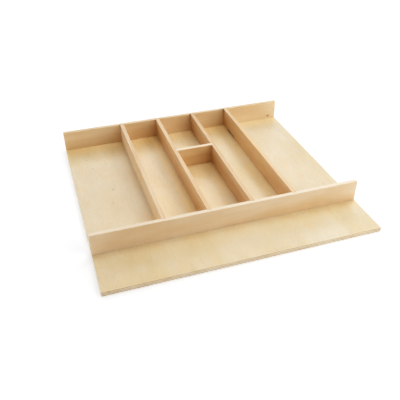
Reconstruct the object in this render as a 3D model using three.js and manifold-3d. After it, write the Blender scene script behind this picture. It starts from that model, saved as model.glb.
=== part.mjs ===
// Trim-to-fit utensil insert for a drawer: a thin base board, two full-width
// rails, four long dividers and one short cross divider, all of the same thin
// stock, set in shallow dados and screwed from underneath.
//
// Frame: millimetres, +X to the right, +Y from the front edge to the back
// edge, +Z up. The origin is the middle of the base board's underside.

import * as THREE from "three";
import { mergeVertices } from "three/addons/utils/BufferGeometryUtils.js";
import Module from "manifold-3d";

// ---------------------------------------------------------------- dimensions

const STOCK = 9.5; // thickness of every board
const SIDE_BAY = 151; // clear width of each open side bay
const INNER_BAY = 90; // clear width of each of the three inner bays
const WIDTH = 2 * SIDE_BAY + 3 * INNER_BAY + 4 * STOCK;
const DEPTH = 559; // whole insert, front to back
const RAIL_HEIGHT = 51; // rails and dividers, above the base
const LEDGE = 110; // bare base in front of the front rail, for trimming
const FRONT_BAY_DEPTH = 251; // centre bay in front of the cross divider

const DADO_DEPTH = 3.25; // groove that takes the end of a divider
const TENON = 3; // how far a divider reaches into its groove
const DADO_PLAY = 0.125; // side clearance of a divider in its groove

const SCREW_LENGTH = 25; // head to tip
const SCREW_R = 1.5; // shank and thread, as a plain cylinder
const TIP_LENGTH = 5; // pointed end
const TIP_R = 0.25;
const HEAD_R = 3; // flat countersunk head
const HEAD_RIM = 0.25; // short cylindrical rim of the head
const HEAD_SINK = 0.375; // head face lies this far inside the underside
const RECESS_R = 1.625; // cross recess, end of an arm to centre
const RECESS_WIDTH = 0.75;
const RECESS_DEPTH = 1.125;
const SCREW_GAP = 0.3; // radial room between a screw and its hole
const TIP_GAP = 0.5; // room beyond the tip in a pilot hole
const ROUND = 12; // sides of the round shapes

const RAIL_SCREW_X = [-280, -100, 0, 100, 280];
const DIVIDER_SCREW_PITCH = 174;

// how far cutters run past the faces they open
const DADO_OVERRUN = 5;
const HOLE_OVERRUN = 2;
const RECESS_OVERRUN = 1;

// ------------------------------------------------------------ derived places

const TOP = STOCK + RAIL_HEIGHT;
const BASE_TOP = STOCK;
const FRONT = -DEPTH / 2;
const BACK = DEPTH / 2;

// front and back faces
const FRONT_RAIL_Y = [FRONT + LEDGE, FRONT + LEDGE + STOCK];
const BACK_RAIL_Y = [BACK - STOCK, BACK];
const BAY_Y = [FRONT_RAIL_Y[1], BACK_RAIL_Y[0]];
const CROSS_FRONT = BAY_Y[0] + FRONT_BAY_DEPTH;
const CROSS_Y = [CROSS_FRONT, CROSS_FRONT + STOCK];

// distance from the centre to the near face of a divider
const INNER_X = INNER_BAY / 2;
const OUTER_X = INNER_X + STOCK + INNER_BAY;

// left face of each long divider
const DIVIDERS = {
  left_outer_divider: -OUTER_X - STOCK,
  left_inner_divider: -INNER_X - STOCK,
  right_inner_divider: INNER_X,
  right_outer_divider: OUTER_X,
};

// heights on a screw, which stands head down
const RIM_TOP = HEAD_SINK + HEAD_RIM;
const CONE_TOP = RIM_TOP + HEAD_R - SCREW_R; // a 90 degree countersink is as deep as it is wide
const SCREW_TOP = HEAD_SINK + SCREW_LENGTH;
const TIP_START = SCREW_TOP - TIP_LENGTH;

// ---------------------------------------------------------------- solid work

const wasm = await Module();
wasm.setup();

function toSolid(geometry) {
  const bare = geometry.clone();
  // seams only weld once normals and uvs are gone
  bare.deleteAttribute("normal");
  bare.deleteAttribute("uv");
  const merged = mergeVertices(bare, 1e-5);
  return new wasm.Manifold(
    new wasm.Mesh({
      numProp: 3,
      vertProperties: new Float32Array(merged.attributes.position.array),
      triVerts: new Uint32Array(merged.index.array),
    }),
  );
}

function toGeometry(solid) {
  const mesh = solid.getMesh();
  const indexed = new THREE.BufferGeometry();
  const positions = new Float32Array(mesh.vertProperties);
  indexed.setAttribute("position", new THREE.BufferAttribute(positions, 3));
  indexed.setIndex(new THREE.BufferAttribute(new Uint32Array(mesh.triVerts), 1));
  const flat = indexed.toNonIndexed();
  flat.computeVertexNormals();
  return flat;
}

// a block between two faces on each axis
function block([x0, x1], [y0, y1], [z0, z1]) {
  const geometry = new THREE.BoxGeometry(x1 - x0, y1 - y0, z1 - z0);
  return geometry.translate((x0 + x1) / 2, (y0 + y1) / 2, (z0 + z1) / 2);
}

// a round shape about +Z from (radius, height) pairs, lowest first
function turned(profile) {
  const points = profile.map(([radius, z]) => new THREE.Vector2(radius, z));
  return new THREE.LatheGeometry(points, ROUND).rotateX(Math.PI / 2);
}

function cut(geometry, cutters) {
  let solid = toSolid(geometry);
  for (const cutter of cutters) solid = solid.subtract(toSolid(cutter));
  return toGeometry(solid);
}

// ------------------------------------------------------------------- screws

const middle = ([low, high]) => (low + high) / 2;

// where each screw stands, in plan, and the board it holds
function placeScrews() {
  const placed = [];
  const addRow = (board, places) => {
    places.forEach(([x, y], i) => placed.push({ name: `${board}_screw_${i + 1}`, board, x, y }));
  };
  addRow("front_rail", RAIL_SCREW_X.map((x) => [x, middle(FRONT_RAIL_Y)]));
  addRow("back_rail", RAIL_SCREW_X.map((x) => [x, middle(BACK_RAIL_Y)]));
  for (const [board, left] of Object.entries(DIVIDERS)) {
    const placeAt = (step) => [left + STOCK / 2, middle(BAY_Y) + step * DIVIDER_SCREW_PITCH];
    addRow(board, [-1, 0, 1].map(placeAt));
  }
  placed.push({ name: "cross_divider_screw", board: "cross_divider", x: 0, y: middle(CROSS_Y) });
  return placed;
}

const screws = placeScrews();

function screwGeometry() {
  const body = turned([
    [0, HEAD_SINK],
    [HEAD_R, HEAD_SINK],
    [HEAD_R, RIM_TOP],
    [SCREW_R, CONE_TOP],
    [SCREW_R, TIP_START],
    [TIP_R, SCREW_TOP],
    [0, SCREW_TOP],
  ]);
  const armLength = [-RECESS_R, RECESS_R];
  const armWidth = [-RECESS_WIDTH / 2, RECESS_WIDTH / 2];
  const recessZ = [HEAD_SINK - RECESS_OVERRUN, HEAD_SINK + RECESS_DEPTH];
  return cut(body, [block(armLength, armWidth, recessZ), block(armWidth, armLength, recessZ)]);
}

// countersunk clearance hole through the base board, mouth on the underside
function baseHole({ x, y }) {
  return turned([
    [0, -HOLE_OVERRUN],
    [HEAD_R + SCREW_GAP, -HOLE_OVERRUN],
    [HEAD_R + SCREW_GAP, RIM_TOP],
    [SCREW_R + SCREW_GAP, CONE_TOP],
    [SCREW_R + SCREW_GAP, BASE_TOP + HOLE_OVERRUN],
    [0, BASE_TOP + HOLE_OVERRUN],
  ]).translate(x, y, 0);
}

// blind pilot hole in the lower edge of an upright board
function pilotHole({ x, y }) {
  return turned([
    [0, BASE_TOP - HOLE_OVERRUN],
    [SCREW_R + SCREW_GAP, BASE_TOP - HOLE_OVERRUN],
    [SCREW_R + SCREW_GAP, TIP_START + TIP_GAP],
    [TIP_R + SCREW_GAP, SCREW_TOP + TIP_GAP],
    [0, SCREW_TOP + TIP_GAP],
  ]).translate(x, y, 0);
}

// ------------------------------------------------------------------- finish

const finish = (settings) => new THREE.MeshStandardMaterial(settings);
const plywood = () => finish({ color: 0xe4d0ac, roughness: 0.62, metalness: 0 });
const solidWood = () => finish({ color: 0xd9bb8c, roughness: 0.58, metalness: 0 });
const zincSteel = () => finish({ color: 0xb9b8b2, roughness: 0.35, metalness: 1 });

function piece(name, geometry, material) {
  const mesh = new THREE.Mesh(geometry, material);
  mesh.name = name;
  return mesh;
}

// ------------------------------------------------------------------- boards

function baseBoard() {
  const board = block([-WIDTH / 2, WIDTH / 2], [FRONT, BACK], [0, BASE_TOP]);
  return piece("base_board", cut(board, screws.map(baseHole)), plywood());
}

// a board standing on the base, with its dados and pilot holes
function upright(name, xRange, yRange, dados = []) {
  const pilots = screws.filter((screw) => screw.board === name).map(pilotHole);
  const board = block(xRange, yRange, [BASE_TOP, TOP]);
  return piece(name, cut(board, [...dados, ...pilots]), solidWood());
}

// full-height groove
function dado(xRange, yRange) {
  return block(xRange, yRange, [BASE_TOP - DADO_OVERRUN, TOP + DADO_OVERRUN]);
}

// a full-width rail, grooved for the ends of the four long dividers
function rail(name, yRange, dadoY) {
  const dados = Object.values(DIVIDERS).map((left) =>
    dado([left - DADO_PLAY, left + STOCK + DADO_PLAY], dadoY),
  );
  return upright(name, [-WIDTH / 2, WIDTH / 2], yRange, dados);
}

// grooves for the cross divider, in the inner dividers' faces on the centre bay
function crossDados(name) {
  const dadoX = {
    left_inner_divider: [-INNER_X - DADO_DEPTH, -INNER_X + DADO_OVERRUN],
    right_inner_divider: [INNER_X - DADO_OVERRUN, INNER_X + DADO_DEPTH],
  }[name];
  return dadoX ? [dado(dadoX, [CROSS_Y[0] - DADO_PLAY, CROSS_Y[1] + DADO_PLAY])] : [];
}

function longDivider(name, left) {
  const yRange = [BAY_Y[0] - TENON, BAY_Y[1] + TENON];
  return upright(name, [left, left + STOCK], yRange, crossDados(name));
}

// ------------------------------------------------------------------ assembly

const insert = new THREE.Group();

insert.add(baseBoard());
insert.add(rail("front_rail", FRONT_RAIL_Y, [BAY_Y[0] - DADO_DEPTH, BAY_Y[0] + DADO_OVERRUN]));
insert.add(rail("back_rail", BACK_RAIL_Y, [BAY_Y[1] - DADO_OVERRUN, BAY_Y[1] + DADO_DEPTH]));
for (const [name, left] of Object.entries(DIVIDERS)) insert.add(longDivider(name, left));
insert.add(upright("cross_divider", [-INNER_X - TENON, INNER_X + TENON], CROSS_Y));

const screwShape = screwGeometry();
for (const { name, x, y } of screws) {
  const screw = piece(name, screwShape, zincSteel());
  screw.position.set(x, y, 0);
  insert.add(screw);
}

export default insert;
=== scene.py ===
"""A utensil tray insert: a plywood base, two rails, four long dividers and a cross divider,
held by screws from below. Lengths are metres in the product's frame unless a name or comment
says mm: X runs left to right, Y front to back, Z up, with the underside of the base at the
bottom. The boards have eased arrises, dados and screw holes, and the wood is procedural.
"""

import math

import bmesh
import bpy
from mathutils import Matrix, Vector


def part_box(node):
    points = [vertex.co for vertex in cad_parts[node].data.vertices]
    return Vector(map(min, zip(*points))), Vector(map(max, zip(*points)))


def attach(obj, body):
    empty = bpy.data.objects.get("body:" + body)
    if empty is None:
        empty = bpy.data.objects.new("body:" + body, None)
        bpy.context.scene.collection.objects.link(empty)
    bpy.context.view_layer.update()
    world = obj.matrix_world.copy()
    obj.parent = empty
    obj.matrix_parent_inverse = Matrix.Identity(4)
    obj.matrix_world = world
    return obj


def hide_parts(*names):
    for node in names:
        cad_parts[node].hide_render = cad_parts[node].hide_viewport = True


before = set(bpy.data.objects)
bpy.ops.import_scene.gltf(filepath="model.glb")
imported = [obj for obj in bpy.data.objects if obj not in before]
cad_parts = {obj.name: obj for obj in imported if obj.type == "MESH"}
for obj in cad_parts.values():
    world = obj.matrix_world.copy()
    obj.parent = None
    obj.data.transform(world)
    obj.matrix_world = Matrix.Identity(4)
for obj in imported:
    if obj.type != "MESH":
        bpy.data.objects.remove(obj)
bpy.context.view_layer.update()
MM = 0.001

# --------------------------------------------------------------------------
# Boards, dados and screws: names and sizes
# --------------------------------------------------------------------------

LONG_DIVIDERS = [
    "left_outer_divider",
    "left_inner_divider",
    "right_inner_divider",
    "right_outer_divider",
]
RAILS = ["front_rail", "back_rail"]
BOARDS = ["base_board"] + RAILS + LONG_DIVIDERS + ["cross_divider"]
SCREWS = sorted(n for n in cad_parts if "screw" in n)
BOX = {n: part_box(n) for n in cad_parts}
BASE_TOP = BOX["base_board"][1].z

# slotted board: axis the slots are sunk along, way the slotted face looks, boards let in
DADOS = {
    "front_rail": (1, 1, LONG_DIVIDERS),
    "back_rail": (1, -1, LONG_DIVIDERS),
    "left_inner_divider": (0, 1, ["cross_divider"]),
    "right_inner_divider": (0, -1, ["cross_divider"]),
}
DADO_DEPTH = 3.25 * MM
DADO_PLAY = 0.125 * MM
DADO_FLARE = 0.3 * MM  # how far the mouth is broken open
DADO_OVERRUN = 5 * MM  # how far the cutter stands out of the board

# chips and torn corners: board, start, end, greatest radius, all in mm
SPLINTERS = [
    ("right_outer_divider", (144.57, 184.0, 10.63), (144.63, 240.0, 10.57), 3.4),
    ("back_rail", (143.13, 269.83, 63.0), (143.91, 270.17, 50.0), 2.2),
    ("back_rail", (121.0, 269.57, 60.71), (141.3, 269.63, 60.83), 1.1),
    ("back_rail", (43.63, 269.84, 62.8), (44.41, 270.19, 52.0), 1.9),
]

HEAD_SINK = 0.375 * MM
HEAD_R = 3.0 * MM
HEAD_RIM = 0.25 * MM
SHANK_R = 1.5 * MM
SCREW_TOP = HEAD_SINK + 25.0 * MM
RIM_TOP = HEAD_SINK + HEAD_RIM
CONE_TOP = RIM_TOP + (HEAD_R - SHANK_R)

THREAD_START = 9.2 * MM
THREAD_PITCH = 1.15 * MM
THREAD_CORE = 1.02 * MM
THREAD_CREST = SHANK_R
POINT_LENGTH = 4.5 * MM
POINT_R = 0.06 * MM  # added to every threaded ring, so the last has some width
RIDGE_SHARE = 0.62  # part of the pitch that the ridge takes up

HOLE_R = SHANK_R + 0.25 * MM
PILOT_R = SHANK_R + 0.13 * MM
SINK_R = HEAD_R + 0.3 * MM
HOLE_OVERRUN = 2 * MM

# (radius, height) of the countersunk clearance hole through the base
BASE_HOLE = [
    (0, -HOLE_OVERRUN),
    (SINK_R, -HOLE_OVERRUN),
    (SINK_R, RIM_TOP),
    (HOLE_R, CONE_TOP),
    (HOLE_R, BASE_TOP + HOLE_OVERRUN),
    (0, BASE_TOP + HOLE_OVERRUN),
]
# (radius, height) of the slimmer pilot hole in a board above the base
PILOT_HOLE = [
    (0, BASE_TOP - HOLE_OVERRUN),
    (HOLE_R, BASE_TOP - HOLE_OVERRUN),
    (PILOT_R, BASE_TOP + 0.3 * MM),
    (PILOT_R, SCREW_TOP - 4.2 * MM),
    (0.3 * MM, SCREW_TOP + 0.4 * MM),
    (0, SCREW_TOP + 0.4 * MM),
]
HOLE_SIDES = 32

# --------------------------------------------------------------------------
# Mesh helpers
# --------------------------------------------------------------------------


def new_object(name, bm):
    mesh = bpy.data.meshes.new(name)
    bm.to_mesh(mesh)
    bm.free()
    obj = bpy.data.objects.new(name, mesh)
    bpy.context.scene.collection.objects.link(obj)
    return obj


def add_ring(bm, radii, z, centre=(0.0, 0.0)):
    """A level ring of vertices about a Z axis, one for each radius."""
    sides = len(radii)
    ring = []
    for i, radius in enumerate(radii):
        angle = 2 * math.pi * i / sides
        x = centre[0] + radius * math.cos(angle)
        y = centre[1] + radius * math.sin(angle)
        ring.append(bm.verts.new((x, y, z)))
    return ring


def bridge(bm, rings):
    """Quads between each ring and the next."""
    for a, b in zip(rings, rings[1:]):
        for i in range(len(a)):
            j = (i + 1) % len(a)
            bm.faces.new((a[i], a[j], b[j], b[i]))


def close_to_point(bm, ring, place):
    """A fan of triangles from a ring to a new vertex."""
    point = bm.verts.new(place)
    for i in range(len(ring)):
        bm.faces.new((ring[i], ring[(i + 1) % len(ring)], point))


def lathe(bm, profile, centre, sides):
    """A closed turned solid about +Z from (radius, height) pairs, lowest first.
    The first and last pairs lie on the axis."""
    rings = [
        add_ring(bm, [radius] * (sides if radius else 1), z, centre) for radius, z in profile
    ]
    bottom, top = rings[0][0], rings[-1][0]
    first, last = rings[1], rings[-2]
    for i in range(sides):
        bm.faces.new((bottom, first[(i + 1) % sides], first[i]))
    bridge(bm, rings[1:-1])
    for i in range(sides):
        bm.faces.new((last[i], last[(i + 1) % sides], top))


def bake_modifiers(obj):
    """Replaces the object's mesh by its evaluated one and drops the modifiers."""
    bpy.context.view_layer.update()
    depsgraph = bpy.context.evaluated_depsgraph_get()
    mesh = bpy.data.meshes.new_from_object(obj.evaluated_get(depsgraph), depsgraph=depsgraph)
    obj.modifiers.clear()
    old = obj.data
    obj.data = mesh
    mesh.name = obj.name
    bpy.data.meshes.remove(old)


def carve(obj, cutters):
    """Cuts every cutter out of the object, then removes the cutters."""
    for cutter in cutters:
        mod = obj.modifiers.new("cut", "BOOLEAN")
        mod.operation = "DIFFERENCE"
        mod.solver = "EXACT"
        mod.object = cutter
    bake_modifiers(obj)
    for cutter in cutters:
        bpy.data.objects.remove(cutter)


def smooth(mesh, sharp_degrees):
    mesh.shade_smooth()
    mesh.set_sharp_from_angle(angle=math.radians(sharp_degrees))


# --------------------------------------------------------------------------
# Screws
# --------------------------------------------------------------------------


def screw_centre(name):
    lo, hi = BOX[name]
    return (lo.x + hi.x) / 2, (lo.y + hi.y) / 2


def hole_cutter(screws, profile):
    bm = bmesh.new()
    for screw in screws:
        lathe(bm, profile, screw_centre(screw), HOLE_SIDES)
    return new_object("hole_cutter", bm)


def thread_radii(z, sides):
    """Radii round one level of the thread, which swells in at its start and tapers to the tip."""
    taper = min(1.0, (SCREW_TOP - z) / POINT_LENGTH) ** 0.75
    grow = min(1.0, (z - THREAD_START) / (1.5 * THREAD_PITCH) + 0.15)
    radii = []
    for i in range(sides):
        angle = 2 * math.pi * i / sides
        phase = ((z - THREAD_START) / THREAD_PITCH - angle / (2 * math.pi)) % 1.0
        ridge = max(0.0, 1.0 - abs(phase - 0.5) * 2 / RIDGE_SHARE)
        radius = THREAD_CORE + (THREAD_CREST - THREAD_CORE) * ridge * grow
        radii.append(radius * taper + POINT_R)
    return radii


def recess_cutter():
    """A tapered cross sunk into the flat face of the head."""
    # arm length, half arm width, height above the face, all in mm
    levels = [(1.86, 0.44, -0.5), (1.62, 0.38, 0.0), (1.05, 0.27, 1.15), (0.45, 0.2, 1.5)]
    bm = bmesh.new()
    rings = []
    for arm, half, height in levels:
        arm, half = arm * MM, half * MM
        outline = [
            (arm, -half), (arm, half), (half, half), (half, arm),
            (-half, arm), (-half, half), (-arm, half), (-arm, -half),
            (-half, -half), (-half, -arm), (half, -arm), (half, -half),
        ]
        rings.append([bm.verts.new((x, y, HEAD_SINK + height * MM)) for x, y in outline])
    bridge(bm, rings)
    bm.faces.new(list(reversed(rings[0])))
    bm.faces.new(rings[-1])
    return new_object("recess_cutter", bm)


def build_screw_mesh():
    """A flat-head wood screw, head down, its axis on Z through the origin."""
    sides, rings_per_turn = 20, 6
    # (height, radius) of the head, its cone and the plain shank
    profile = [
        (HEAD_SINK, HEAD_R - 0.12 * MM),
        (HEAD_SINK + 0.1 * MM, HEAD_R),
        (RIM_TOP, HEAD_R),
        (CONE_TOP - 0.15 * MM, SHANK_R + 0.12 * MM),
        (CONE_TOP + 0.1 * MM, 1.32 * MM),
        (THREAD_START - 0.9 * MM, 1.3 * MM),
    ]
    bm = bmesh.new()
    rings = [add_ring(bm, [radius] * sides, z) for z, radius in profile]
    thread = SCREW_TOP - THREAD_START
    steps = int(round(thread / (THREAD_PITCH / rings_per_turn)))
    for k in range(steps):
        z = THREAD_START + thread * k / steps
        rings.append(add_ring(bm, thread_radii(z, sides), z))
    bridge(bm, rings)
    bm.faces.new(list(reversed(rings[0])))
    close_to_point(bm, rings[-1], (0, 0, SCREW_TOP))
    screw = new_object("screw_pattern", bm)
    carve(screw, [recess_cutter()])
    mesh = screw.data
    bpy.data.objects.remove(screw)
    smooth(mesh, sharp_degrees=38)
    return mesh


# --------------------------------------------------------------------------
# Boards as meshes
# --------------------------------------------------------------------------


def dado_cutter(board, axis, face, out):
    """An upright slot for a board, its mouth broken open a little, as a saw leaves it.
    It is sunk along the axis (0 or 1) from the plane at face; out is +1 or -1, the way
    the open side looks."""
    lo, hi = BOX[board]
    across = 1 - axis
    bottom = face - out * DADO_DEPTH
    lip = face - out * DADO_FLARE
    outside = face + out * DADO_OVERRUN
    start, end = lo[across] - DADO_PLAY, hi[across] + DADO_PLAY
    # (place across the slot, place along its depth)
    outline = [
        (start, bottom), (end, bottom), (end, lip), (end + DADO_FLARE, face),
        (end + DADO_FLARE, outside), (start - DADO_FLARE, outside),
        (start - DADO_FLARE, face), (start, lip),
    ]
    bm = bmesh.new()
    rings = []
    for z in (lo.z - DADO_OVERRUN, hi.z + DADO_OVERRUN):
        ring = []
        for place, depth in outline:
            co = [0.0, 0.0, z]
            co[across], co[axis] = place, depth
            ring.append(bm.verts.new(co))
        rings.append(ring)
    bridge(bm, rings)
    for ring in rings:
        bm.faces.new(ring)
    bmesh.ops.recalc_face_normals(bm, faces=bm.faces)
    return new_object("dado_cutter", bm)


def splinter_cutter(start, end, width, seed):
    """A ragged spindle between two points; width is its greatest radius."""
    steps, sides = 11, 9
    start, end = Vector(start), Vector(end)
    way = (end - start).normalized()
    side = way.cross(Vector((0.31, 0.52, 0.79))).normalized()
    up = way.cross(side)
    bm = bmesh.new()
    rings = []
    for k in range(1, steps):
        share = k / steps
        full = (math.sin(math.pi * share ** 0.8)) ** 0.7
        centre = start.lerp(end, share)
        ring = []
        for i in range(sides):
            angle = 2 * math.pi * i / sides
            wobble = 1 + 0.24 * math.sin(3.1 * i + 1.7 * k + seed)
            wobble += 0.15 * math.sin(1.3 * i - 2.3 * k + 2 * seed)
            r = width * full * wobble
            offset = side * (r * math.cos(angle)), up * (r * math.sin(angle))
            ring.append(bm.verts.new(centre + offset[0] + offset[1]))
        rings.append(ring)
    bridge(bm, rings)
    close_to_point(bm, rings[0], start)
    close_to_point(bm, rings[-1], end)
    bmesh.ops.triangulate(bm, faces=bm.faces)
    bmesh.ops.recalc_face_normals(bm, faces=bm.faces)
    return new_object("splinter_cutter", bm)


def easing_mm(node, run, low, high):
    """How far one edge of a board is eased. run is the axis the edge follows; low and high
    tell whether it bounds the bottom or the top face."""
    if node == "base_board":
        return 0.35 if low else 0.45
    if node in RAILS:
        if high:
            return 0.8
        if low:
            return 0.3 if run == 1 else 0.2
        return 0.5
    length_axis = 0 if node == "cross_divider" else 1
    if run != length_axis:
        return 0.0
    return 0.7 if high else 0.25


def eased_block(node):
    """The board's box with rounded edges."""
    lo, hi = BOX[node]
    bm = bmesh.new()
    bmesh.ops.create_cube(bm, size=1.0)
    for v in bm.verts:
        v.co = Vector([lo[i] if v.co[i] < 0 else hi[i] for i in range(3)])
    weight = bm.edges.layers.float.new("bevel_weight_edge")
    for edge in bm.edges:
        a, b = edge.verts
        d = b.co - a.co
        run = max(range(3), key=lambda i: abs(d[i]))
        z = (a.co.z + b.co.z) / 2
        edge[weight] = easing_mm(node, run, abs(z - lo.z) < 1e-6, abs(z - hi.z) < 1e-6)
    obj = new_object(node + "_board", bm)
    bevel = obj.modifiers.new("ease", "BEVEL")
    bevel.limit_method = "WEIGHT"
    bevel.width = 1.0 * MM  # so that the weights are millimetres
    bevel.segments = 4
    bevel.profile = 0.5
    bevel.use_clamp_overlap = True
    bake_modifiers(obj)
    return obj


def build_board(node):
    """One board: an eased block with its screw holes, dados and chips."""
    obj = eased_block(node)
    if node == "base_board":
        cutters = [hole_cutter(SCREWS, BASE_HOLE)]
    else:
        own = [s for s in SCREWS if s.split("_screw")[0] == node]
        cutters = [hole_cutter(own, PILOT_HOLE)]
    if node in DADOS:
        axis, out, boards = DADOS[node]
        lo, hi = BOX[node]
        face = (hi if out > 0 else lo)[axis]
        cutters += [dado_cutter(board, axis, face, out) for board in boards]
    for k, (board, start, end, width) in enumerate(SPLINTERS):
        if board == node:
            start, end = [c * MM for c in start], [c * MM for c in end]
            cutters.append(splinter_cutter(start, end, width * MM, seed=1.0 + k))
    carve(obj, cutters)

    # smooth shading across the eased corners only, flat faces stay flat
    smooth(obj.data, sharp_degrees=40)
    normals = obj.modifiers.new("weighted_normals", "WEIGHTED_NORMAL")
    normals.mode = "FACE_AREA"
    normals.keep_sharp = True
    normals.weight = 100
    return obj


# --------------------------------------------------------------------------
# Material tools
# --------------------------------------------------------------------------


def linear(level):
    """One eight-bit display level to linear light."""
    level /= 255.0
    return level / 12.92 if level <= 0.04045 else ((level + 0.055) / 1.055) ** 2.4


def srgb(r, g, b):
    return (linear(r), linear(g), linear(b), 1.0)


class Value:
    """A shader output; arithmetic on it makes math nodes in its tree."""

    def __init__(self, tree, socket):
        self.tree = tree
        self.socket = socket

    def __add__(self, other):
        return self.tree.math("ADD", self, other)

    def __sub__(self, other):
        return self.tree.math("SUBTRACT", self, other)

    def __rsub__(self, other):
        return self.tree.math("SUBTRACT", other, self)

    def __mul__(self, other):
        return self.tree.math("MULTIPLY", self, other)

    def __abs__(self):
        return self.tree.math("ABSOLUTE", self)

    def fract(self):
        return self.tree.math("FRACT", self)

    def swing(self, width):
        """Turns 0 to 1 into a spread of this width, centred on zero."""
        return (self - 0.5) * width

    def ramp(self, start, end, low=0.0, high=1.0):
        """A smooth change from low, where this is at start, to high, where it is at end."""
        node = self.tree.nodes.new("ShaderNodeMapRange")
        node.interpolation_type = "SMOOTHSTEP"
        names = ("Value", "From Min", "From Max", "To Min", "To Max")
        for name, value in zip(names, (self, start, end, low, high)):
            self.tree.put(node.inputs[name], value)
        return Value(self.tree, node.outputs["Result"])

    def fade(self, start, end):
        """One up to start, none beyond end."""
        return 1.0 - self.ramp(start, end)

    def band(self, rise, fall):
        """One between the (start, end) of the rise and of the fall, none outside."""
        return self.ramp(*rise) - self.ramp(*fall)


class Tree:
    """A material's nodes round one Principled surface."""

    def __init__(self, name):
        self.mat = bpy.data.materials.new(name)
        self.mat.use_nodes = True
        self.nodes = self.mat.node_tree.nodes
        self.links = self.mat.node_tree.links
        self.nodes.clear()
        output = self.nodes.new("ShaderNodeOutputMaterial")
        self.bsdf = self.nodes.new("ShaderNodeBsdfPrincipled")
        self.links.new(self.bsdf.outputs["BSDF"], output.inputs["Surface"])

    def put(self, socket, value):
        """Links a Value to an input, or sets the input to a plain number or colour."""
        if isinstance(value, Value):
            self.links.new(value.socket, socket)
        else:
            socket.default_value = value

    def source(self, kind, output):
        return Value(self, self.nodes.new(kind).outputs[output])

    def math(self, operation, a, b=0.0):
        node = self.nodes.new("ShaderNodeMath")
        node.operation = operation
        for socket, value in zip(node.inputs, (a, b, 0.0)):
            self.put(socket, value)
        return Value(self, node.outputs[0])

    def distance(self, first, *others):
        """Root of the sum of squares."""
        total = first * first
        for part in others:
            total = total + part * part
        return self.math("SQRT", total)

    def vector(self, x, y, z):
        node = self.nodes.new("ShaderNodeCombineXYZ")
        for socket, value in zip(node.inputs, (x, y, z)):
            self.put(socket, value)
        return Value(self, node.outputs[0])

    def split(self, vector):
        node = self.nodes.new("ShaderNodeSeparateXYZ")
        self.put(node.inputs[0], vector)
        return [Value(self, output) for output in node.outputs]

    def position_mm(self):
        position = self.source("ShaderNodeTexCoord", "Object")
        node = self.nodes.new("ShaderNodeVectorMath")
        node.operation = "SCALE"
        self.put(node.inputs[0], position)
        node.inputs["Scale"].default_value = 1000.0
        return self.split(Value(self, node.outputs[0]))

    def normal(self):
        return self.split(self.source("ShaderNodeNewGeometry", "True Normal"))

    def noise_at(self, point, scale=1.0, detail=2.0, rough=0.5):
        node = self.nodes.new("ShaderNodeTexNoise")
        self.put(node.inputs["Vector"], point)
        node.inputs["Scale"].default_value = scale
        node.inputs["Detail"].default_value = detail
        node.inputs["Roughness"].default_value = rough
        return Value(self, node.outputs["Fac"])

    def noise(self, *axes, **look):
        """Noise over three axes, each a plain value or (coordinate, cycles per mm, offset),
        where the offset may be left out."""
        return self.noise_at(self.vector(*[self.stretched(axis) for axis in axes]), **look)

    def stretched(self, axis):
        if not isinstance(axis, tuple):
            return axis
        coordinate, per_mm, *offset = axis
        value = coordinate * per_mm
        return value + offset[0] if offset else value

    def mix(self, factor, a, b, blend="MIX"):
        node = self.nodes.new("ShaderNodeMix")
        node.data_type = "RGBA"
        node.blend_type = blend
        self.put(node.inputs["Factor"], factor)
        # inputs 6 and 7 are the two colours
        self.put(node.inputs[6], a)
        self.put(node.inputs[7], b)
        return Value(self, node.outputs[2])

    def lay(self, colour, over, where, strength):
        """Lays one colour over another, through a mask thinned by the strength."""
        return self.mix(where * strength, colour, over)

    def tint(self, colour, tint):
        return self.mix(1.0, colour, tint, blend="MULTIPLY")

    def brighten(self, colour, tone):
        level = tone + 1.0
        return self.tint(colour, self.vector(level, level, level))

    def edge_distance(self, position, box):
        """Distance in mm from a point on the block's surface to the block's nearest edge."""
        x, y, z = [
            self.math("MINIMUM", p - lo * 1000, hi * 1000 - p)
            for p, lo, hi in zip(position, *box)
        ]
        least = self.math("MINIMUM", self.math("MINIMUM", x, y), z)
        most = self.math("MAXIMUM", self.math("MAXIMUM", x, y), z)
        return x + y + z - least - most

    def wear_and_highlight_edges(self, colour, over, position, box, reach, level, up, detail, patch, strength):
        """Patchy paler colour along the block's edges, rubbed wear and a painted highlight
        together.
        reach in mm and patch are ramp limits; level and up are the patches' cycles per mm along
        the floor and along Z."""
        x, y, z = position
        edge = self.edge_distance(position, box).fade(*reach)
        patches = self.noise((x, level), (y, level), (z, up), detail=detail)
        worn_and_lit = edge * patches.ramp(*patch)
        return self.lay(colour, over, where=worn_and_lit, strength=strength)

    def finish(self, colour, rough, height, bump, depth_mm, **inputs):
        """Wires the surface and returns the material."""
        self.put(self.bsdf.inputs["Base Color"], colour)
        self.put(self.bsdf.inputs["Roughness"], rough)
        for name, value in inputs.items():
            self.bsdf.inputs[name].default_value = value
        node = self.nodes.new("ShaderNodeBump")
        node.inputs["Strength"].default_value = bump
        node.inputs["Distance"].default_value = depth_mm * MM
        self.put(node.inputs["Height"], height)
        self.put(self.bsdf.inputs["Normal"], Value(self, node.outputs["Normal"]))
        return self.mat


# --------------------------------------------------------------------------
# Maple: rails and dividers
# --------------------------------------------------------------------------


def add_knots(t, colour, position, run, knots):
    """Pin knots: a dark eye in a brown halo, drawn out along the grain."""
    for *centre, size in knots:
        offset = [p - c for p, c in zip(position, centre)]
        offset[run] = offset[run] * 0.75
        away = t.distance(*offset) + t.noise(*position, scale=0.9).swing(size * 0.5)
        halo = away.fade(size * 0.6, size * 3.2)
        eye = away.fade(size * 0.35, size * 0.95)
        colour = t.lay(colour, srgb(176, 122, 66), where=halo, strength=0.4)
        colour = t.lay(colour, srgb(58, 36, 22), where=eye, strength=0.95)
    return colour


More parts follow.
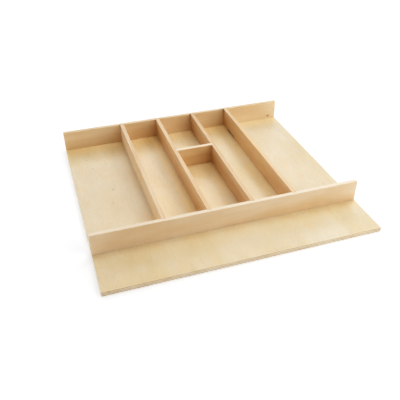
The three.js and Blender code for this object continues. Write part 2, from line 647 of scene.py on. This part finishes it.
def add_joint_shade(t, colour, position, run, painted_joint_shade):
    """Painted shade in the corners where dividers meet the back rail: soft brown smudges near one
    face.
    """
    side = 1 - run
    x, y, z = position
    for *centre, half_width, half_height, power in painted_joint_shade:
        along = (position[run] - centre[run]) * (1 / half_width)
        up = (z - centre[2]) * (1 / half_height)
        ragged = t.distance(along, up)
        ragged = ragged + t.noise((x, 0.8), (y, 0.8), (z, 0.8), detail=3.0).swing(0.8)
        near = abs(position[side] - centre[side]).fade(1.5, 3.5)
        joint_shade_mask = ragged.fade(0.2, 1.25) * near
        colour = t.lay(colour, srgb(84, 50, 26), where=joint_shade_mask, strength=power)
    return colour


def add_chip_darkening(t, colour, position, chip_darkening):
    """Darker brown along and around a chip that runs front to back."""
    x, y, z = position
    for chip_x, chip_z, front, back, reach in chip_darkening:
        away = t.distance(x - chip_x, (z - chip_z) * 0.8)
        away = away + t.noise((x, 0.9), (y, 0.25), (z, 0.9)).swing(reach * 0.7)
        span = y.band(rise=(front - 6, front + 8), fall=(back - 16, back + 6))
        chip_dark = away.fade(reach * 0.45, reach) * span
        colour = t.lay(colour, srgb(78, 48, 24), where=chip_dark, strength=0.88)
    return colour


def maple(name, box, tones, grain, seed, heart, tint=(1.0, 1.0, 1.0),
          knots=(), painted_top_highlight=0.0, chip_darkening=(), painted_joint_shade=(), painted_shades=()):
    """Solid pale maple: growth rings round a far-off heart, fibre, pores and colour drift.
    tones are the light, middle and late-wood colours; the other values are described
    at BOARD_LOOK."""
    t = Tree(name)
    position = x, y, z = t.position_mm()
    normal = t.normal()
    run = 0 if grain == "X" else 1
    side = 1 - run
    middle = [(lo + hi) * 500 for lo, hi in zip(*box)]
    # u follows the fibres, v crosses them on the level, w rises, all in mm
    v = position[side] - middle[side]
    w = z - middle[2]
    u = position[run] + seed * 731.0

    def grain_noise(along, across, **look):
        return t.noise((u, along), (v, across), (w, across), **look)

    # slow wander of the fibres, and a small one, in mm
    wander_v = grain_noise(along=0.0032, across=0.012).swing(26.0)
    wander_w = t.noise((u, 0.0041), (v, 0.013, 9.3), (w, 0.013)).swing(22.0)
    wander_r = grain_noise(along=0.018, across=0.13).swing(1.6)
    from_heart = t.distance(v + wander_v - heart[0], w + wander_w - heart[1])
    radius = from_heart + wander_r

    # growth rings of uneven width, dark only at the late edge
    ring_width = 3.4
    uneven = t.noise((radius, 0.085), seed, 0.0) * 9.0
    ring = ((radius + uneven) * (1 / ring_width)).fract()
    late = ring.band(rise=(0.35, 0.93), fall=(0.93, 1.0))
    ring_soft = t.noise((radius, 0.22), (u, 0.002), seed)

    fibre = grain_noise(along=0.035, across=2.1, detail=3.0, rough=0.6)
    fine = grain_noise(along=0.16, across=6.5, rough=0.6)
    pores = grain_noise(along=0.19, across=2.6, detail=1.0).ramp(0.66, 0.76)
    drift = grain_noise(along=0.006, across=0.03, rough=0.55)
    curl = grain_noise(along=0.05, across=0.012, detail=1.0)

    light, mid, dark = [
        tuple(c * factor for c, factor in zip(tone, tint)) + (1.0,) for tone in tones
    ]
    colour = t.mix(drift.ramp(0.3, 0.72), light, mid)
    ring_strength = ring_soft.ramp(0.25, 0.75, low=0.08, high=0.26)
    colour = t.lay(colour, dark, where=late, strength=ring_strength)
    colour = t.brighten(colour, fibre.swing(0.16) + fine.swing(0.06) + curl.swing(0.06))
    colour = t.lay(colour, srgb(150, 104, 62), where=pores, strength=0.1)

    # painted light and shade: slow tints along one axis
    for axis, start, stop, first, last in painted_shades:
        place = position[axis].ramp(start, stop)
        colour = t.tint(colour, t.mix(place, (*first, 1.0), (*last, 1.0)))
    # painted highlight: the top face is painted paler than the sides
    if painted_top_highlight:
        top = normal[2].ramp(0.5, 0.9)
        colour = t.lay(colour, srgb(255, 242, 220), where=top, strength=painted_top_highlight)
    colour = add_knots(t, colour, position, run, knots)
    colour = add_joint_shade(t, colour, position, run, painted_joint_shade)
    colour = add_chip_darkening(t, colour, position, chip_darkening)

    # sawn ends drink the finish and go darker; the eased arrises are a little paler, rubbed wear
    # and a painted highlight together
    end = abs(normal[run]).ramp(0.6, 0.95)
    speck = grain_noise(along=0.5, across=4.2, detail=1.0).ramp(0.58, 0.7)
    sawn = t.lay(srgb(208, 170, 122), srgb(168, 122, 76), where=late, strength=0.75)
    sawn = t.lay(sawn, srgb(146, 102, 62), where=speck, strength=0.4)
    colour = t.lay(colour, sawn, where=end, strength=0.62)
    colour = t.wear_and_highlight_edges(
        colour, srgb(250, 232, 202), position, box,
        reach=(0.15, 1.5), level=0.06, up=0.2, detail=3.0, patch=(0.35, 0.65), strength=0.28,
    )

    # duller on fibre, sawn ends and pores, shinier on late wood; pores are sunk
    rough = fibre * 0.12 + late * -0.05 + 0.34 + end * 0.18 + pores * 0.1
    height = fibre * 1.0 + fine * 0.35 - pores * 0.7
    return t.finish(colour, rough, height, bump=0.35, depth_mm=0.05, IOR=1.47)


# --------------------------------------------------------------------------
# Birch plywood: the base
# --------------------------------------------------------------------------

GLUE_LINES = (1.25, 3.65, 5.85, 8.25)  # heights in mm between the five plies
PLY_BLEND = 0.1  # half the height in mm over which one ply turns into the next


def veneer_face(t, position, up_facing, seed, flecks, painted_light_zones):
    """Rotary-cut birch with the grain front to back: its colour, roughness and relief."""
    x, y, z = position
    u = y + (900.0 + seed * 417.0)

    def figure(across, along, up=None, layer=0.0, **look):
        """Noise in cycles per mm; without up it is constant through the board."""
        third = layer if up is None else (z, up)
        return t.noise((x, across), (u, along), third, **look)

    # wide wandering contours, stretched along the grain
    warp = figure(across=0.010, along=0.0022, layer=1.7)
    slow = figure(across=0.017, along=0.0030, layer=seed, detail=3.0)
    level = slow * 60.0 + warp * 34.0
    level = level + figure(across=0.14, along=0.012, layer=4.4) * 1.3
    ring = (level * 0.42).fract()
    late = ring.band(rise=(0.3, 0.9), fall=(0.9, 1.0))
    ring_soft = figure(across=0.03, along=0.006, layer=8.1)

    fibre = figure(across=1.9, along=0.03, up=1.0, detail=3.0, rough=0.6)
    fine = figure(across=6.0, along=0.14, up=3.0, rough=0.6)
    streak = figure(across=0.33, along=0.0075, layer=2.2, rough=0.55)
    pores = figure(across=3.0, along=0.26, up=2.0, detail=1.0).ramp(0.67, 0.77)
    drift = figure(across=0.011, along=0.0055, layer=5.5, detail=3.0)
    blotch = figure(across=0.045, along=0.016, layer=6.5)

    face = t.mix(drift.ramp(0.3, 0.7), srgb(235, 215, 179), srgb(228, 201, 152))
    ring_strength = ring_soft.ramp(0.3, 0.7, low=0.02, high=0.11)
    face = t.lay(face, srgb(205, 172, 124), where=late, strength=ring_strength)
    # warmer and cooler patches
    warm = figure(across=0.034, along=0.021, layer=9.9)
    face = t.lay(face, srgb(238, 196, 138), where=warm.ramp(0.54, 0.72), strength=0.22)
    face = t.lay(face, srgb(236, 220, 196), where=warm.fade(0.3, 0.46), strength=0.2)
    tone = fibre.swing(0.07) + fine.swing(0.05) + (streak.swing(0.055) + blotch.swing(0.13))
    face = t.brighten(face, tone)
    face = t.lay(face, srgb(160, 118, 74), where=pores, strength=0.055)

    upper = up_facing.ramp(0.3, 0.7)
    # painted light and shade: patches of tone on the upper face alone
    for zone_x, zone_y, width, length, soft, tint in painted_light_zones:
        dx, dy = abs(x - zone_x), abs(y - zone_y)
        inside = dx.fade(width - soft, width + soft) * dy.fade(length - 14, length + 30)
        face = t.mix(inside * upper, face, t.tint(face, (*tint, 1.0)))
    for fleck_x, fleck_y, width, length, power in flecks:
        dx = (x - fleck_x) * (1 / width)
        dy = (y - fleck_y) * (1 / length)
        ragged = t.distance(dx, dy) + t.noise(x, y, z, scale=0.35).swing(0.7)
        face = t.lay(face, srgb(200, 144, 80), where=ragged.fade(0.3, 1.3), strength=power)

    rough = fibre * 0.12 + late * -0.04 + 0.26
    height = fibre + fine * 0.35 - pores * 0.7
    return face, rough, height


def ply_edge(t, position, on_front, on_side):
    """Sawn edges, five plies showing end grain or long grain by turns: colour and relief."""
    x, y, z = position

    def edge_noise(level, up, **look):
        return t.noise((x, level), (y, level), (z, up), **look)

    wave = edge_noise(level=0.02, up=0.15).swing(0.7)
    ripple = edge_noise(level=0.3, up=0.4).swing(0.22)
    height = z + (wave + ripple)

    def above(line):
        return height.ramp(line - PLY_BLEND, line + PLY_BLEND)

    first, second, third, fourth = GLUE_LINES
    cross = above(first) - above(second) + (above(third) - above(fourth))
    # on front and back edges the cross plies show long grain, on the sides the others do
    long_grain = on_front * cross + on_side * (1.0 - cross)
    dots = edge_noise(level=3.4, up=1.3, detail=3.0, rough=0.65)
    lines = edge_noise(level=0.05, up=2.6, detail=3.0, rough=0.6)

    # slow changes of tone, different in each ply, and the fine checks a veneer knife opens
    ply_number = t.math("FLOOR", (height + 1.1) * (1 / 2.4))
    slow = t.noise((x, 0.016), (y, 0.016), (ply_number, 5.7), detail=3.0, rough=0.6)
    checks = t.noise(x * 1.5 + z * 0.5, y * 1.5 + z * 0.5, (z, 0.25), detail=1.0)
    checks = checks.ramp(0.66, 0.73)
    end_tone = t.mix(dots, srgb(180, 150, 112), srgb(210, 184, 147))
    end_tone = t.lay(end_tone, srgb(140, 102, 66), where=checks, strength=0.35)
    long_tone = t.mix(lines, srgb(224, 203, 170), srgb(247, 232, 205))
    ply = t.mix(long_grain, end_tone, long_tone)
    ply = t.lay(ply, srgb(196, 160, 114), where=slow.ramp(0.42, 0.72), strength=0.5)

    # dark voids in the cross plies
    void = t.noise((x, 0.045), (y, 0.045), (z, 0.12, 3.0), detail=1.0).ramp(0.7, 0.76) * cross
    ply = t.lay(ply, srgb(128, 92, 58), where=void, strength=0.45)
    # on front and back, darker outer plies and a paler middle one
    outer = above(fourth) + (1.0 - above(first))
    ply = t.lay(ply, srgb(162, 136, 102), where=outer * on_front, strength=0.65)
    centre = above(second) - above(third)
    ply = t.lay(ply, srgb(226, 204, 170), where=centre * on_front, strength=0.4)
    glue = 0.0
    for line in GLUE_LINES:
        glue = t.math("MAXIMUM", glue, abs(height - line).fade(0.03, 0.16))
    ply = t.lay(ply, srgb(120, 84, 52), where=glue, strength=0.5)
    return ply, dots * (1.0 - long_grain) - glue


def plywood(name, box, seed, flecks, painted_light_zones):
    t = Tree(name)
    position = t.position_mm()
    normal_x, normal_y, normal_z = t.normal()
    face, rough, face_relief = veneer_face(t, position, normal_z, seed, flecks, painted_light_zones)
    on_front = abs(normal_y).ramp(0.5, 0.8)
    on_side = abs(normal_x).ramp(0.5, 0.8)
    ply, edge_relief = ply_edge(t, position, on_front, on_side)
    on_edge = t.math("MAXIMUM", on_front, on_side)
    colour = t.mix(on_edge, face, ply)
    # paler edges: rubbed wear and a painted highlight together
    colour = t.wear_and_highlight_edges(
        colour, srgb(246, 228, 196), position, box,
        reach=(0.1, 1.1), level=0.03, up=0.1, detail=1.0, patch=(0.3, 0.7), strength=0.22,
    )
    rough = rough + on_edge * 0.3
    height = face_relief * (1.0 - on_edge) + edge_relief * on_edge
    return t.finish(colour, rough, height, bump=0.35, depth_mm=0.05, IOR=1.52)


def zinc(name):
    """Bright zinc plating: a slightly mottled satin metal."""
    t = Tree(name)
    point = t.vector(*t.position_mm())
    cloud = t.noise_at(point, scale=0.9, detail=3.0, rough=0.6)
    grit = t.noise_at(point, scale=9.0, detail=2.0, rough=0.6)
    colour = t.mix(cloud, srgb(176, 178, 180), srgb(214, 212, 202))
    rough = cloud * 0.16 + (grit * 0.1 + 0.2)
    return t.finish(colour, rough, grit, bump=0.25, depth_mm=0.02, Metallic=1.0)


# --------------------------------------------------------------------------
# How each board looks
# --------------------------------------------------------------------------


def tones(*levels):
    """Linear RGB colours from eight-bit ones."""
    return [srgb(*level)[:3] for level in levels]


# light, middle and late wood
RAIL_TONES = tones((248, 225, 192), (240, 210, 168), (210, 167, 115))
DIVIDER_TONES = tones((242, 209, 164), (231, 191, 140), (198, 150, 92))

PLAIN = (1.0, 1.0, 1.0)


def painted_top_shade(*tint):
    """Painted shade on the top face alone: a tint that darkens the tops of most boards and warms
    the cross divider's.
    """
    return (2, 60.0, 60.45, PLAIN, tint)


# grain: the axis the fibres follow; seed: shifts the figure along the grain
# heart: the tree's middle, in mm across and up from the board's own middle
# tint: multiplies the tones; top highlight: strength of a painted highlight on the top face
# painted shades: slow tints along one axis, mostly painted light and shade:
#     axis, from, to in mm, tint at each end
# knots: x, y, z, size in mm
# joint shade: painted shade where the dividers meet the back rail: x, y, z, half width, half
# height in mm, strength
# chip darkening: darker brown along a chip: x, z, front y, back y, reach, all in mm
BOARD_LOOK = {
    "front_rail": dict(
        grain="X", seed=1.0, heart=(-34.0, -92.0), tint=(0.95, 0.93, 0.93), painted_top_highlight=0.4,
        # painted light: lighter low on the rail, darker towards its top
        painted_shades=[(2, 5.0, 65.0, (1.05, 1.04, 1.02), (0.945, 0.955, 0.965))],
    ),
    "back_rail": dict(
        grain="X", seed=2.7, heart=(48.0, -70.0), tint=(0.96, 0.93, 0.87),
        painted_shades=[
            # painted shade at the left end, painted light at the right end
            (0, -305.0, 305.0, (0.94, 0.91, 0.88), (1.0, 1.025, 1.07)),
            painted_top_shade(0.95, 0.96, 0.98),
        ],
        knots=[(283.5, 270.0, 17.2, 1.9)],
        painted_joint_shade=[
            (144.4, 270.0, 58.5, 4.6, 4.2, 0.85),
            (137.0, 270.0, 59.8, 11.0, 1.3, 0.6),
            (45.0, 270.0, 58.8, 4.0, 3.8, 0.8),
            (-54.5, 270.0, 59.0, 3.0, 3.4, 0.6),
            (-154.0, 270.0, 59.2, 2.4, 3.0, 0.45),
        ],
    ),
    "left_outer_divider": dict(
        grain="Y", seed=4.1, heart=(60.0, -55.0), tint=(0.97, 1.0, 1.04),
        # painted shade towards the back end
        painted_shades=[(1, 140.0, 260.0, PLAIN, (0.94, 0.91, 0.88)), painted_top_shade(0.95, 0.95, 0.97)],
    ),
    "left_inner_divider": dict(
        grain="Y", seed=5.6, heart=(-75.0, 30.0), painted_shades=[painted_top_shade(0.94, 0.94, 0.97)],
    ),
    "right_inner_divider": dict(
        grain="Y", seed=7.3, heart=(52.0, 66.0), tint=(0.92, 0.91, 0.89),
        # painted shade towards the back end
        painted_shades=[(1, 165.0, 245.0, PLAIN, (0.88, 0.85, 0.82)), painted_top_shade(0.97, 0.97, 1.0)],
    ),
    "right_outer_divider": dict(
        grain="Y", seed=8.8, heart=(-40.0, -84.0),
        painted_shades=[
            # painted light from the middle on, painted shade towards the back end
            (1, -70.0, 40.0, PLAIN, (1.05, 1.07, 1.03)),
            (1, 90.0, 245.0, PLAIN, (0.88, 0.84, 0.81)),
            painted_top_shade(0.92, 0.93, 0.96),
        ],
        chip_darkening=[(144.5, 10.9, 186.0, 238.0, 5.1)],
    ),
    "cross_divider": dict(
        grain="X", seed=9.9, heart=(44.0, 58.0), tint=(0.95, 0.96, 0.96), painted_top_highlight=0.5,
        painted_shades=[painted_top_shade(1.03, 1.0, 0.94)],
    ),
}

# brown flecks on the base: x, y, half width, half length in mm, strength
FLECKS = (
    (-219.8, 49.0, 3.6, 5.5, 0.42),
    (-230.2, -5.9, 2.6, 5.5, 0.3),
    (-260.3, 201.3, 2.0, 3.0, 0.6),
    (-252.2, 157.1, 3.0, 4.0, 0.3),
    (-216.1, 173.6, 1.6, 15.0, 0.32),
)
# painted light and shade on the base: darker outer bays, a bluer sheen on the ledge and fourth
# bay,
# lighter strips by the front rail and beside three dividers, a golden band by the back rail:
# x, y, half width, half length, softness in mm, tint
PAINTED_LIGHT_ZONES = (
    (-262.0, -10.0, 62.0, 165.0, 22.0, (0.945, 0.93, 0.905)),
    (238.0, 40.0, 72.0, 190.0, 22.0, (0.93, 0.945, 0.98)),
    (0.0, -190.0, 320.0, 22.0, 22.0, (1.05, 1.06, 1.07)),
    (185.0, -238.0, 120.0, 40.0, 22.0, (0.99, 1.02, 1.07)),
    (102.0, 50.0, 34.0, 130.0, 22.0, (1.0, 1.04, 1.09)),
    (0.0, 262.0, 340.0, 20.0, 22.0, (1.065, 1.035, 0.955)),
    (-66.0, 50.0, 9.0, 190.0, 9.0, (1.1, 1.085, 1.02)),
    (34.0, 20.0, 9.0, 60.0, 9.0, (1.07, 1.03, 0.96)),
    (134.0, 50.0, 9.0, 190.0, 9.0, (1.04, 1.025, 0.97)),
)

# --------------------------------------------------------------------------
# Put it together
# --------------------------------------------------------------------------


def hand_over(obj, node, material):
    """Gives a piece its material and lets it stand in for its CAD node."""
    obj.data.materials.clear()
    obj.data.materials.append(material)
    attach(obj, "root")
    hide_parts(node)


def place_boards():
    for node in BOARDS:
        obj = build_board(node)
        if node == "base_board":
            material = plywood("birch_plywood", BOX[node], seed=0.6, flecks=FLECKS, painted_light_zones=PAINTED_LIGHT_ZONES)
        else:
            rail = node in RAILS
            wood_tones = RAIL_TONES if rail else DIVIDER_TONES
            material = maple("maple_" + node, BOX[node], wood_tones, **BOARD_LOOK[node])
        hand_over(obj, node, material)


def place_screws():
    pattern = build_screw_mesh()
    material = zinc("zinc_plate")
    for i, node in enumerate(SCREWS):
        mesh = pattern.copy()
        # each screw has stopped at its own angle
        turn = Matrix.Rotation(0.7 * i + 0.35, 4, "Z")
        mesh.transform(Matrix.Translation((*screw_centre(node), 0)) @ turn)
        obj = bpy.data.objects.new(node + "_threaded", mesh)
        bpy.context.scene.collection.objects.link(obj)
        hand_over(obj, node, material)
    bpy.data.meshes.remove(pattern)


place_boards()
place_screws()

# --------------------------------------------------------------------------
# Studio: pale floor, soft light, camera
# --------------------------------------------------------------------------

FAR_TONE = 0.74  # the very pale grey that the camera sees in the distance
ROOM_LIGHT = 0.03  # what the room really sheds on the tray
FLOOR_GLOW = 0.27
scene = bpy.context.scene


def camera_response(contrast):
    """A gentle S-shaped response: deeper shades, softer highlights."""
    view = scene.view_settings
    view.view_transform = "Standard"
    view.look = "None"
    view.exposure = 0.0
    view.gamma = 1.0
    view.use_curve_mapping = True
    mapping = view.curve_mapping
    mapping.use_clip = False
    combined = mapping.curves[3]
    for shown in (0.16, 0.32, 0.5, 0.66, 0.8, 0.91):
        bent = shown + contrast * shown * (1 - shown) * (2 * shown - 1)
        # the curve works in scene-linear light
        point = combined.points.new(linear(shown * 255), linear(bent * 255))
        point.handle_type = "AUTO"
    mapping.update()


def build_world():
    world = bpy.data.worlds.new("studio")
    scene.world = world
    world.use_nodes = True
    nodes, links = world.node_tree.nodes, world.node_tree.links
    background = nodes["Background"]
    background.inputs["Color"].default_value = (1.0, 1.0, 1.0, 1.0)
    ray = nodes.new("ShaderNodeLightPath")
    seen = nodes.new("ShaderNodeMapRange")
    seen.inputs["To Min"].default_value = ROOM_LIGHT
    seen.inputs["To Max"].default_value = FAR_TONE
    links.new(ray.outputs["Is Camera Ray"], seen.inputs["Value"])
    links.new(seen.outputs["Result"], background.inputs["Strength"])


def floor_material():
    """Seen directly, the floor fades into plain white away from the tray, and into the
    pale room at low angles."""
    t = Tree("studio_floor")
    x, y, _ = t.position_mm()
    settings = {
        "Base Color": (0.93, 0.93, 0.93, 1.0),
        "Roughness": 0.9,
        "Specular IOR Level": 0.2,
        "Emission Color": (1.0, 1.0, 1.0, 1.0),
    }
    for name, value in settings.items():
        t.bsdf.inputs[name].default_value = value
    away = t.distance(x, y)
    camera_ray = t.source("ShaderNodeLightPath", "Is Camera Ray")
    slant = t.split(t.source("ShaderNodeNewGeometry", "Incoming"))[2]
    white = away.ramp(420.0, 1300.0) * slant.ramp(0.03, 0.22, low=FAR_TONE - FLOOR_GLOW)
    t.put(t.bsdf.inputs["Emission Strength"], white * camera_ray + FLOOR_GLOW)
    return t.mat


def build_floor():
    bm = bmesh.new()
    bmesh.ops.create_grid(bm, x_segments=1, y_segments=1, size=12.0)
    for v in bm.verts:
        v.co.z = -0.2 * MM
    floor = new_object("floor", bm)
    floor.data.materials.append(floor_material())


def area_light(name, shape, place, aim, power, colour):
    """An area light at a place, shining along aim and hidden from the camera."""
    data = bpy.data.lights.new(name, "AREA")
    data.shape = shape
    data.energy = power
    data.color = colour
    obj = bpy.data.objects.new(name, data)
    scene.collection.objects.link(obj)
    obj.location = place
    obj.rotation_mode = "QUATERNION"
    obj.rotation_quaternion = aim.to_track_quat("-Z", "Y")
    obj.visible_camera = False
    return obj


def softbox(name, azimuth, elevation, distance, size, power, colour, mirrored=True):
    """A round softbox aimed at the tray's middle; azimuth is in degrees from +X towards +Y.
    A low fill is not mirrored in the satin finish, so it leaves no glare on the top edges."""
    az, el = math.radians(azimuth), math.radians(elevation)
    way = Vector((math.cos(el) * math.cos(az), math.cos(el) * math.sin(az), math.sin(el)))
    place = way * distance
    obj = area_light(name, "DISK", place, -place, power, colour)
    obj.data.size = size
    obj.visible_glossy = mirrored


def backdrop_band(name, low, high, power):
    """One band of a lit white sweep behind the tray, between two heights."""
    place = (0.7, 1.9, (low + high) / 2)
    towards_front = Vector((0, -1, 0))
    obj = area_light(name, "RECTANGLE", place, towards_front, power, (0.96, 1.0, 1.1))
    obj.data.size = 5.4
    obj.data.size_y = high - low


def build_lights():
    # name, azimuth, elevation, distance, size, power, colour, mirrored
    for box in (
        ("overhead", 0, 88, 2.0, 1.2, 11.7, (1.05, 1.01, 0.92), True),
        ("key_right", 20, 52, 1.65, 0.6, 4.8, (0.92, 0.99, 1.09), True),
        ("front_high", 300, 40, 2.0, 1.0, 8.4, (1.0, 1.0, 1.0), True),
        ("front_fill", 315, 18, 2.2, 1.0, 13.0, (0.98, 1.0, 1.02), False),
        ("left_fill", 180, 8, 2.2, 0.8, 13.4, (0.93, 1.0, 1.12), False),
    ):
        softbox(*box)
    backdrop_band("sweep_low", low=0.0, high=0.9, power=13.5)
    backdrop_band("sweep_middle", low=0.9, high=1.9, power=30.0)
    backdrop_band("sweep_high", low=1.9, high=3.2, power=23.5)


def build_camera():
    """The camera stands in front, a little to the left, and looks down on the tray."""
    data = bpy.data.cameras.new("camera")
    camera = bpy.data.objects.new("camera", data)
    scene.collection.objects.link(camera)
    data.sensor_fit = "HORIZONTAL"
    data.sensor_width = 36.0
    data.lens = 46.9975
    data.clip_start, data.clip_end = 0.01, 50.0
    # columns: the camera's right, up and backward directions, and its place
    camera.matrix_world = Matrix(
        (
            (0.9489689947630955, 0.1880479936962447, -0.2531714815004588, -0.3441422443010851),
            (-0.315359973213563, 0.5596319948148611, -0.7663942312376051, -0.9904729815765587),
            (-0.002436036342271908, 0.8071245148342081, 0.5903762218116366, 0.7280408879571361),
            (0.0, 0.0, 0.0, 1.0),
        )
    )
    scene.camera = camera


camera_response(contrast=0.4)
build_world()
build_floor()
build_lights()
build_camera()
